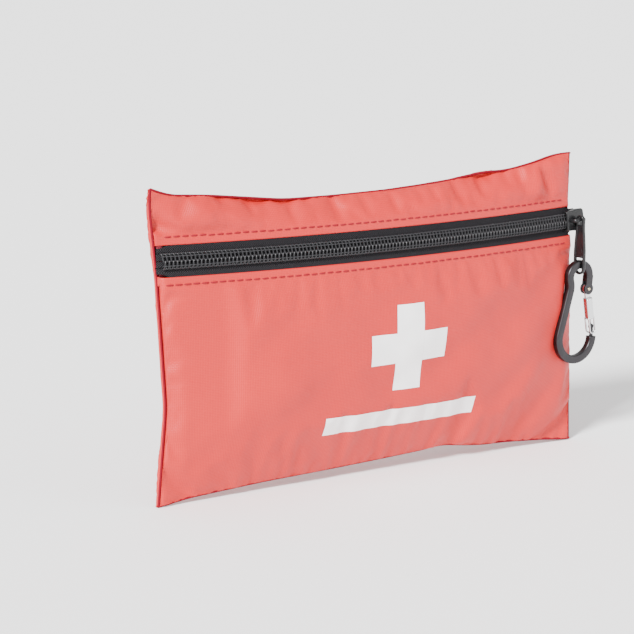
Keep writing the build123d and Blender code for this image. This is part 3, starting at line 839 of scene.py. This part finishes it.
def rounded_bar(wide, thick, corner, per=3):
    """The section of a flat bar with rounded corners, as (k, 2) places round it."""
    a = np.linspace(0, math.pi / 2, per)
    turned = []
    for k, (cx, cy) in enumerate(((1, 1), (-1, 1), (-1, -1), (1, -1))):
        turn = a + k * math.pi / 2
        middle = np.array([cx * (wide / 2 - corner), cy * (thick / 2 - corner)])
        turned.append(middle + corner * np.stack([np.cos(turn), np.sin(turn)], 1))
    return np.vstack(turned)


def slab(outline, n0, n1, rim):
    """A plate between two heights, its outline (k, 2) drawn in by a quarter round at both rims."""
    step = np.roll(outline, -1, axis=0) - np.roll(outline, 1, axis=0)
    normal = np.stack([step[:, 1], -step[:, 0]], 1)
    normal /= np.linalg.norm(normal, axis=1, keepdims=True)
    angle = np.linspace(0, math.pi / 2, 4)
    draw = np.concatenate([rim * (1 - np.sin(angle)), rim * (1 - np.cos(angle))])
    height = np.concatenate([n0 + rim * (1 - np.cos(angle)), n1 - rim * (1 - np.sin(angle))])
    draw = np.concatenate([[rim + 0.25], draw, [rim + 0.25]])
    height = np.concatenate([[n0], height, [n1]])
    flat = outline[None] - normal[None] * draw[:, None, None]
    points = np.concatenate([flat, np.broadcast_to(height[:, None, None], flat.shape[:2] + (1,))], -1)
    rows, cols = points.shape[:2]
    middle = outline.mean(0)
    points = np.vstack([points.reshape(-1, 3), [[*middle, n0], [*middle, n1]]])
    faces = grid_faces(rows, cols, closed=True).tolist()
    low, high, last = rows * cols, rows * cols + 1, (rows - 1) * cols
    for k in range(cols):
        n = (k + 1) % cols
        faces += [(n, k, low), (last + k, last + n, high)]
    return points, faces


def together(*made):
    """Several (points, faces) as one."""
    points, faces, start = [], [], 0
    for p, f in made:
        points.append(p)
        faces += [tuple(int(i) + start for i in face) for face in f]
        start += len(p)
    return np.vstack(points), faces


def dense(outline, step=0.5):
    """The same outline with places no further apart than step."""
    outline = np.asarray(outline, float)
    ends = np.roll(outline, -1, axis=0)
    runs = []
    for a, b in zip(outline, ends):
        n = max(1, int(math.ceil(np.linalg.norm(b - a) / step)))
        runs.append(a + (b - a) * (np.arange(n) / n)[:, None])
    return np.vstack(runs)


def disc(radius, x=0.0, y=0.0, count=28):
    a = np.linspace(0, 2 * math.pi, count, endpoint=False)
    return np.stack([x + radius * np.cos(a), y + radius * np.sin(a)], 1)


def turned_z(p, angle):
    c, s = math.cos(angle), math.sin(angle)
    return np.stack([p[..., 0] * c - p[..., 1] * s, p[..., 0] * s + p[..., 1] * c, p[..., 2]], -1)


SLIDER_TURN = math.asin(89.8 / ZIP_R)
BEAM_AT, LINK_AT = joint_at("pull_swing"), joint_at("carabiner_swing")
CHANNEL_TOP, CHANNEL_FLOOR, PLATE_TOP, BEAM_OUT = 2.85, -0.65, 3.75, 6.55


def slider_place(p):
    """From the slider's own places (x along the chain, y across it, z out from the tape)."""
    c, s = math.cos(ZIP_TILT), math.sin(ZIP_TILT)
    x, across, out = p[..., 0], p[..., 1], p[..., 2]
    local = np.stack([x, -out * c + across * s - ZIP_R, out * s + across * c], -1)
    return turned_z(local, SLIDER_TURN) + [0, AXIS_Y, ZIP_Z]


def make_slider():
    """Two plates with rolled flanges, joined by the post, and the arch over the top plate."""
    half = 4.9
    upper = [(-half, 3.6), (-half + 0.5, 4.05), (-1.0, 4.05), (0.6, 4.4), (1.8, 4.6)]
    upper += [(half - 1.0, 4.6), (half - 0.2, 4.1), (half, 3.4)]
    outline = dense([*upper, *[(x, -y) for x, y in reversed(upper)]])[::-1]
    top = slab(outline, CHANNEL_TOP, PLATE_TOP, 0.4)
    dome = top[0][:, 2] > PLATE_TOP - 0.5
    top[0][dome, 2] += 0.25 * (1 - (top[0][dome, 1] / 4.6) ** 2)
    low = slab(outline, CHANNEL_FLOOR - 0.9, CHANNEL_FLOOR, 0.35)
    flanges = []
    for sign in (1, -1):
        wall = [(-half + 0.3, 3.42), (half - 0.5, 3.5), (half - 0.5, 4.45), (1.7, 4.5), (-1, 3.98)]
        wall.append((-half + 0.3, 3.98))
        wall = dense([(x, sign * y) for x, y in wall])
        flanges.append(slab(wall if sign > 0 else wall[::-1], 0.95, CHANNEL_TOP + 0.1, 0.12))
    post = dense([(1.2, 0), (3.4, -1.15), (4.9, 0), (3.4, 1.15)], 0.4)
    body = together(top, low, *flanges, slab(post, CHANNEL_FLOOR - 0.05, CHANNEL_TOP + 0.05, 0.08))
    piece("slider_plates", slider_place(body[0]), body[1], ENAMEL, "slider_body", "slider")
    a = np.linspace(0, math.pi / 2, 6)
    reach, rise, round_r = 2.7, BEAM_OUT, 1.1
    right = np.stack([reach - round_r + round_r * np.cos(a), rise - round_r + round_r * np.sin(a)], 1)
    left = (right * [-1, 1])[::-1]
    feet = np.array([[reach, 3.5], [reach, 4.4]])
    path = np.vstack([feet, right, [[1, rise], [-1, rise]], left, (feet * [-1, 1])[::-1]])
    path = np.stack([path[:, 0], np.zeros(len(path)), path[:, 1]], 1)
    arch = sweep(path, [0, 1, 0], rounded_bar(1.35, 1.5, 0.6, 4))
    piece("slider_arch", slider_place(arch[0]), arch[1], ENAMEL, "slider_crown", "slider")


def pull_place(p):
    """From the pull's own places (x through it along the chain, y across, z up), from the arch's bar."""
    return turned_z(p, SLIDER_TURN) + BEAM_AT


PULL_L = float(BEAM_AT[2] - LINK_AT[2])


def make_pull():
    """A rim swept round the tab's outline, the thin sunk panel in it, and a bar at each end of the panel."""
    eye_r, end_r, foot = 1.6, 2.35, -PULL_L - 1.45
    a = np.linspace(0, math.pi, 15)
    top = np.stack([eye_r * np.cos(a), eye_r * np.sin(a)], 1)
    low = np.stack([-end_r * np.cos(a), foot - end_r * np.sin(a)], 1)
    sides = np.array([[-eye_r, -3.2], [-end_r, -12.5]])
    loop = dense(np.vstack([top, sides, low, (sides * [-1, 1])[::-1]]), 0.6)
    path = np.stack([np.zeros(len(loop)), loop[:, 0], loop[:, 1]], 1)
    rim = sweep(path, [1, 0, 0], rounded_bar(1.0, 1.4, 0.32), closed=True)
    stop = -PULL_L + 3.1
    half_panel = np.array([(-1.75, -2.6), (-end_r, -12.5), (-end_r, stop)])
    panel = dense(np.vstack([half_panel, (half_panel * [-1, 1])[::-1]]))
    plate = slab(panel, -0.33, 0.33, 0.1)
    plate = (plate[0][:, [2, 0, 1]], plate[1])
    bars = []
    for z, half in ((-2.5, 1.7), (stop, 2.4)):
        y = np.linspace(-half, half, 5)
        bars.append(sweep(np.stack([0 * y, y, 0 * y + z], 1), [1, 0, 0], rounded_bar(0.9, 1.25, 0.3)))
    body = together(rim, plate, *bars)
    piece("pull_frame", pull_place(body[0]), body[1], ENAMEL, "pull_tab", "pull")


CLIP_TURN, CLIP_LEAN = math.radians(5.6), math.radians(3.0)
BIG_AT = np.array([0.0, -30.6])
GATE_PIN, GATE_END = np.array([4.9, -10.4]), np.array([8.7, -28.0])


def clip_place(p):
    """From the clip's own places (x across, y through it, z up), from the bar that the pull hangs on."""
    c, s = math.cos(CLIP_LEAN), math.sin(CLIP_LEAN)
    local = np.stack([p[..., 0] * c + p[..., 2] * s, p[..., 1], -p[..., 0] * s + p[..., 2] * c], -1)
    return turned_z(local, CLIP_TURN) + LINK_AT


def arc(centre, radius, start, end, step=4.0):
    """Places round a circle between two angles in degrees."""
    a = np.radians(np.linspace(start, end, max(3, int(abs(end - start) / step))))
    return np.stack([centre[0] + radius * np.cos(a), centre[1] + radius * np.sin(a)], 1)


def clip_line():
    """Pin, small loop, waist, spine, then the big loop to the nose: arcs joined by tangents."""
    small, small_r, waist_r, big_r = np.array([0.0, -5.2]), 5.2, 7.0, 9.1

    def heading(start, centre, radius):
        d = centre - start
        return math.degrees(math.atan2(d[1], d[0]) - math.asin(radius / np.hypot(*d)))

    rise = heading(GATE_PIN, small, small_r)
    a = math.radians(200)
    waist = small + (small_r + waist_r) * np.array([math.cos(a), math.sin(a)])
    spine = heading(waist, BIG_AT, big_r + waist_r) + 360
    runs = [
        GATE_PIN[None], arc(small, small_r, rise - 90, 200), arc(waist, waist_r, 20, spine - 270),
        arc(BIG_AT, big_r, spine - 90, 360),
    ]
    line = np.vstack(runs)
    gap = np.linalg.norm(np.diff(line, axis=0), axis=1)
    length = np.concatenate([[0], np.cumsum(gap)])
    at = np.linspace(0, length[-1], 150)
    return np.stack([np.interp(at, length, line[:, k]) for k in (0, 1)], 1)


def in_plane(flat, y=0.0):
    """(x, z) places in the clip's plane as (x, y, z)."""
    flat = np.asarray(flat, float)
    return np.stack([flat[..., 0], np.full(flat.shape[:-1], y), flat[..., 1]], -1)


def cheek(outline, y0, y1, rim=0.12):
    """A plate in the clip's plane between two depths."""
    made = slab(outline, y0, y1, rim)
    return made[0][:, [0, 2, 1]], [f[::-1] for f in made[1]]


def make_clip():
    """The bent bar, its hinge fork of two cheeks, the thin nose, and the rivet."""
    line = clip_line()
    far = np.linalg.norm(line - GATE_PIN, axis=1)
    start = int(np.nonzero(far > 2.95)[0][0])
    bar = sweep(in_plane(line[start:]), [0, -1, 0], rounded_bar(3.4, 3.0, 0.62, 4))
    parts = [bar]
    fork = line[: start + 6]
    for sign in (1, -1):
        parts.append(sweep(in_plane(fork, sign * 1.08), [0, -1, 0], rounded_bar(3.3, 0.82, 0.2)))
        parts.append(cheek(disc(2.35, *GATE_PIN), sign * 1.08 - 0.42, sign * 1.08 + 0.42))
    nose = np.vstack([arc(BIG_AT, 9.1, -14, 2), [GATE_END + [0.3, 0.2], GATE_END + [0.1, 1.4]]])
    parts.append(sweep(in_plane(nose), [0, -1, 0], rounded_bar(1.5, 0.95, 0.25)))
    parts.append(cheek(disc(1.12, *(GATE_END + [0.0, 1.5])), -0.5, 0.5))
    body = together(*parts)
    piece("clip_bar", clip_place(body[0]), body[1], ANODISED, "carabiner_body", "carabiner")
    a = np.linspace(0, 2 * math.pi, 20, endpoint=False)[None, :]
    r = np.array([0.02, 0.4, 0.62, 0.68, 0.56, 0.56, 0.68, 0.62, 0.4, 0.02])[:, None]
    y = np.array([-1.9, -1.86, -1.7, -1.55, -1.5, 1.5, 1.55, 1.7, 1.86, 1.9])[:, None]
    pin = np.stack(np.broadcast_arrays(GATE_PIN[0] + r * np.cos(a), y, GATE_PIN[1] + r * np.sin(a)), -1)
    piece("gate_rivet", clip_place(pin.reshape(-1, 3)), grid_faces(10, 20, closed=True), RIVET,
          "gate_pivot_pin", "carabiner")


def make_gate():
    """A plated bar with a tongue round the rivet, and at its free end two rims with room for the nose."""
    run = GATE_END - GATE_PIN
    length = float(np.hypot(*run))
    way = run / length
    side = np.array([-way[1], way[0]])

    def along(d, across=0.0):
        return GATE_PIN + way * d + side * across

    def straight(start, end, count, section):
        return sweep(in_plane([along(d) for d in np.linspace(start, end, count)]), [0, -1, 0], section)

    bar = straight(4.1, length - 5.0, 12, rounded_bar(3.15, 2.9, 0.6, 4))
    tongue = straight(0.6, 4.6, 5, rounded_bar(2.6, 0.95, 0.2))
    parts = [bar, tongue, cheek(disc(2.0, *GATE_PIN), -0.47, 0.47)]
    a = np.linspace(0, math.pi, 13)
    end = [along(length - 0.15 + 1.36 * math.sin(t), 1.36 * math.cos(t)) for t in a]
    loop = dense(np.vstack([[along(length - 5.4, 1.36)], end, [along(length - 5.4, -1.36)]]), 0.5)
    for depth in (1.12, -1.12):
        parts.append(sweep(in_plane(loop, depth), [0, -1, 0], rounded_bar(0.5, 0.68, 0.16), closed=True))
    body = together(*parts)
    piece("gate_bar", clip_place(body[0]), body[1], PLATED, "carabiner_gate", "gate")
    t = np.linspace(0, 7 * 2 * math.pi, 90)
    d = 5.7 + 5.6 * t / t[-1]
    flat = GATE_PIN + way * d[:, None] + side * (0.5 * np.cos(t))[:, None]
    path = in_plane(flat)
    path[:, 1] = 0.5 * np.sin(t)
    coil = sweep(path, in_plane(way * np.ones((90, 1))), rounded_bar(0.22, 0.22, 0.1))
    piece("gate_spring_wire", clip_place(coil[0]), coil[1], SPRING, "gate_spring", "gate")


# ------------------------------------------------------------------ the supplies
def sachet(centre, wide, tall, thick, rim, seed):
    """A sealed packet: half its thickness = thick / 2 * rolled(distance in from the rim), plus ripples."""
    rng = np.random.default_rng(seed)
    b = np.linspace(-1, 1, 19)[:, None]
    front = np.linspace(-1, 1, 23)
    a = np.concatenate([front, front[-2:0:-1]])[None, :]
    face = np.concatenate([np.full(23, -1.0), np.full(21, 1.0)])[None, :]
    inside = np.minimum((1 - np.abs(a)) * wide, (1 - np.abs(b)) * tall) / 2
    half = 0.05 + (thick / 2 - 0.05) * rolled(inside - rim, 3.0)
    half = np.where(inside > 1e-6, half, 0)
    x, z = a * wide / 2, b * tall / 2
    p, q, r = rng.uniform(0, 6, 3)
    ripple = np.sin(x / 4 + p) * np.cos(z / 5 + q) + np.sin((x + z) / 3.1 + r)
    y = face * half + 0.03 * thick * ripple * rolled(inside - rim, 4.0)
    points = np.stack(np.broadcast_arrays(centre[0] + x, centre[1] + y, centre[2] + z), -1)
    return points.reshape(-1, 3), grid_faces(19, 44, closed=True)


def weld(made):
    """Joins points that lie on each other, so that rims and ends are closed."""
    shell = bmesh.new()
    shell.from_mesh(made.data)
    bmesh.ops.remove_doubles(shell, verts=shell.verts, dist=1e-7)
    bmesh.ops.recalc_face_normals(shell, faces=shell.faces)
    shell.to_mesh(made.data)
    shell.free()


def packets(name, node, finish, places, wide, tall, thick, rim):
    shapes = [sachet(at, wide, tall, thick, rim, 20 + k) for k, at in enumerate(places)]
    points, faces = together(*shapes)
    made = piece(name, points, faces, finish, node)
    weld(made)


def ring(name, node, slot, finish, outer, inner, wide, rim):
    """A turned ring about the roll's axis: its section is a rectangle with rounded corners."""
    section = rounded_bar(outer - inner, wide, rim, 4) + [(outer + inner) / 2, 0]
    a = np.linspace(0, 2 * math.pi, 48, endpoint=False)[:, None]
    x, y, z = section[:, 0] * np.cos(a), section[:, 1] + 0 * a, section[:, 0] * np.sin(a)
    points = np.stack([x, y, z], -1) + [32, -0.6, 43]
    rows = np.concatenate([points, points[:1]]).reshape(-1, 3)
    weld(piece(name, rows, grid_faces(49, len(section), closed=True), finish, node))


def make_contents():
    """Two rolls of gauze, each a flattened spiral; packets; and a roll of tape on its core."""
    for name, x in (("left", -63.0), ("right", 63.0)):
        t = np.linspace(0, 8 * 2 * math.pi, 330)[:, None]
        r = 0.1 + 0.87 * t / t[-1]
        z = np.linspace(-22, 22, 9)[None, :]
        loose = 0.25 * np.sin(t * 1.7 + z * 0.3) * (np.abs(z) > 15)
        across, deep = x + 11.5 * r * np.cos(t), 0.4 + 5.6 * r * np.sin(t)
        points = np.stack(np.broadcast_arrays(across, deep, 50 + z + loose), -1)
        node = f"gauze_bandage_{name}"
        made = piece(f"gauze_roll_{name}", points.reshape(-1, 3), grid_faces(330, 9), GAUZE, node)
        thicken(made, 0.3, 0.0)
    packets("folded_bandage", "triangular_bandage", CALICO,
            [(-17, -5.85 + 1.65 * k, 54) for k in range(3)], 60, 48, 1.6, 0.3)
    packets("dressing_packets", "wound_dressings", SACHET,
            [(-17, -0.6 + 2.0 * k, 54) for k in range(3)], 58, 48, 1.8, 3.0)
    packets("plaster_packets", "sticking_plasters", PLASTER,
            [(-17, 4.75 + 0.8 * k, z) for k in range(3) for z in (42, 63)], 58, 19, 0.66, 1.5)
    packets("wipe_packets", "antiseptic_wipes", FOIL,
            [(32, -5.6 + 1.9 * k, 72) for k in range(5)], 32, 24, 1.65, 2.0)
    ring("tape_roll", "adhesive_tape_roll", "tape_white", TAPE_CLOTH, 15.0, 10.5, 10.0, 0.3)
    ring("tape_core", "adhesive_tape_core", "core_card", CARD, 10.4, 9.2, 10.4, 0.2)


# ------------------------------------------------------------------ camera, light, floor
def make_camera():
    """Looks down a little from the left of the front."""
    azimuth, elevation, distance = math.radians(29.6), math.radians(12.4), 0.769
    target = Vector(place([-27.6, 0.0, 65.9]))
    flat = math.cos(elevation)
    back = Vector((-math.sin(azimuth) * flat, -math.cos(azimuth) * flat, math.sin(elevation)))
    data = bpy.data.cameras.new("camera")
    data.lens, data.sensor_width = 113.6, 36.0
    camera = bpy.data.objects.new("camera", data)
    camera.location = target + back * distance
    camera.rotation_euler = (-back).to_track_quat("-Z", "Y").to_euler()
    bpy.context.scene.collection.objects.link(camera)
    bpy.context.scene.camera = camera


def light_along(data, way, at=(0, 0, 0)):
    """A light that shines one way."""
    light = bpy.data.objects.new(data.name, data)
    light.location = at
    light.rotation_euler = Vector(way).to_track_quat("-Z", "Y").to_euler()
    bpy.context.scene.collection.objects.link(light)


def make_stage():
    """A pale floor and world, a wide soft key from the upper left, and a weak fill from the right."""
    floor_mesh = bpy.data.meshes.new("floor")
    r = 4.0
    floor_mesh.from_pydata([(-r, -r, 0), (r, -r, 0), (r, r, 0), (-r, r, 0)], [], [(0, 1, 2, 3)])
    floor = bpy.data.objects.new("floor", floor_mesh)
    bpy.context.scene.collection.objects.link(floor)
    t = Tree("pale_floor", Roughness=0.9)
    t.shader.inputs["Base Color"].default_value = (0.97, 0.97, 0.97, 1)
    floor_mesh.materials.append(t.material)
    world = bpy.data.worlds.new("studio")
    world.use_nodes = True
    world.node_tree.nodes["Background"].inputs["Color"].default_value = (1, 1, 1, 1)
    world.node_tree.nodes["Background"].inputs["Strength"].default_value = 1.1
    bpy.context.scene.world = world
    key = bpy.data.lights.new("key", "SUN")
    key.energy, key.angle = 9.0, math.radians(12)
    light_along(key, (0.74, 0.42, -0.60))
    fill = bpy.data.lights.new("fill", "AREA")
    fill.shape, fill.size, fill.energy = "DISK", 0.6, 3.0
    light_along(fill, (-0.7, 0.7, -0.29), (0.7, -0.7, 0.35))


# ------------------------------------------------------------------ build
RED, TAPE, COIL, INK = red_cloth(), zip_tape_cloth(), coil_nylon(), white_ink()
RED_THREAD = thread("red_thread", (0.16, 0.002, 0.008), (0.30, 0.006, 0.02))
BLACK_THREAD = thread("black_thread", (0.012, 0.012, 0.013), (0.06, 0.06, 0.065))
# painted shade: the seam fold's red is far darker than the cloth's, for the shade in the groove at the seams
SEAM_FOLD_SHADE = cotton("seam_fold_painted_shade", (0.13, 0.001, 0.008), (0.24, 0.003, 0.016), 0.5)
BINDING = cotton("seam_binding", (0.2, 0.02, 0.03), (0.34, 0.05, 0.07), 0.6)
ENAMEL = metal("slider_enamel", (0.004, 0.004, 0.0045), (0.012, 0.012, 0.013), 0.3, metallic=0.0,
               Specular_IOR_Level=0.35)
ANODISED = metal("clip_anodised", (0.035, 0.033, 0.036), (0.06, 0.057, 0.06), 0.4, wear=(0.09, 0.09, 0.09))
PLATED = metal("gate_plate", (0.6, 0.6, 0.61), (0.8, 0.8, 0.81), 0.22)
RIVET = metal("rivet_brass", (0.6, 0.47, 0.28), (0.75, 0.62, 0.4), 0.3)
SPRING = metal("spring_wire", (0.5, 0.5, 0.51), (0.65, 0.65, 0.66), 0.3)

GAUZE = cotton("gauze_weave", (0.8, 0.78, 0.72), (0.95, 0.94, 0.9), 0.9)
CALICO = cotton("calico", (0.72, 0.68, 0.58), (0.88, 0.85, 0.77), 0.5)
SACHET = paper("sachet_paper", (0.8, 0.82, 0.84), (0.94, 0.95, 0.96), crimp=0.4)
PLASTER = paper("plaster_wrap", (0.85, 0.8, 0.72), (0.95, 0.92, 0.86), crimp=0.3)
TAPE_CLOTH = cotton("tape_cloth", (0.8, 0.77, 0.7), (0.93, 0.91, 0.86), 0.35)
CARD = paper("core_card", (0.42, 0.3, 0.19), (0.6, 0.46, 0.32), rough=0.85)
FOIL = paper("wipe_foil", (0.35, 0.55, 0.62), (0.55, 0.72, 0.78), crimp=0.5, rough=0.3)

make_camera()
LOWER_ROWS, LOWER_CLOTH = make_pouch()
make_seam_fold_shade()
make_seam_bindings()
make_print()
for sign in (1, -1):
    make_tape(sign)
    make_coil(sign)
    make_topstitch(sign)
make_slider()
make_pull()
make_clip()
make_gate()
make_contents()

STEEL = metal("stainless", (0.5, 0.5, 0.51), (0.66, 0.66, 0.67), 0.25)
STEEL_NODES = [part["node"] for part in frame["record"]["subparts"] if part["material_slot"] == "tool_steel"]
for node in STEEL_NODES:
    frame["nodes"][node].data.materials.clear()
    frame["nodes"][node].data.materials.append(STEEL)

make_stage()
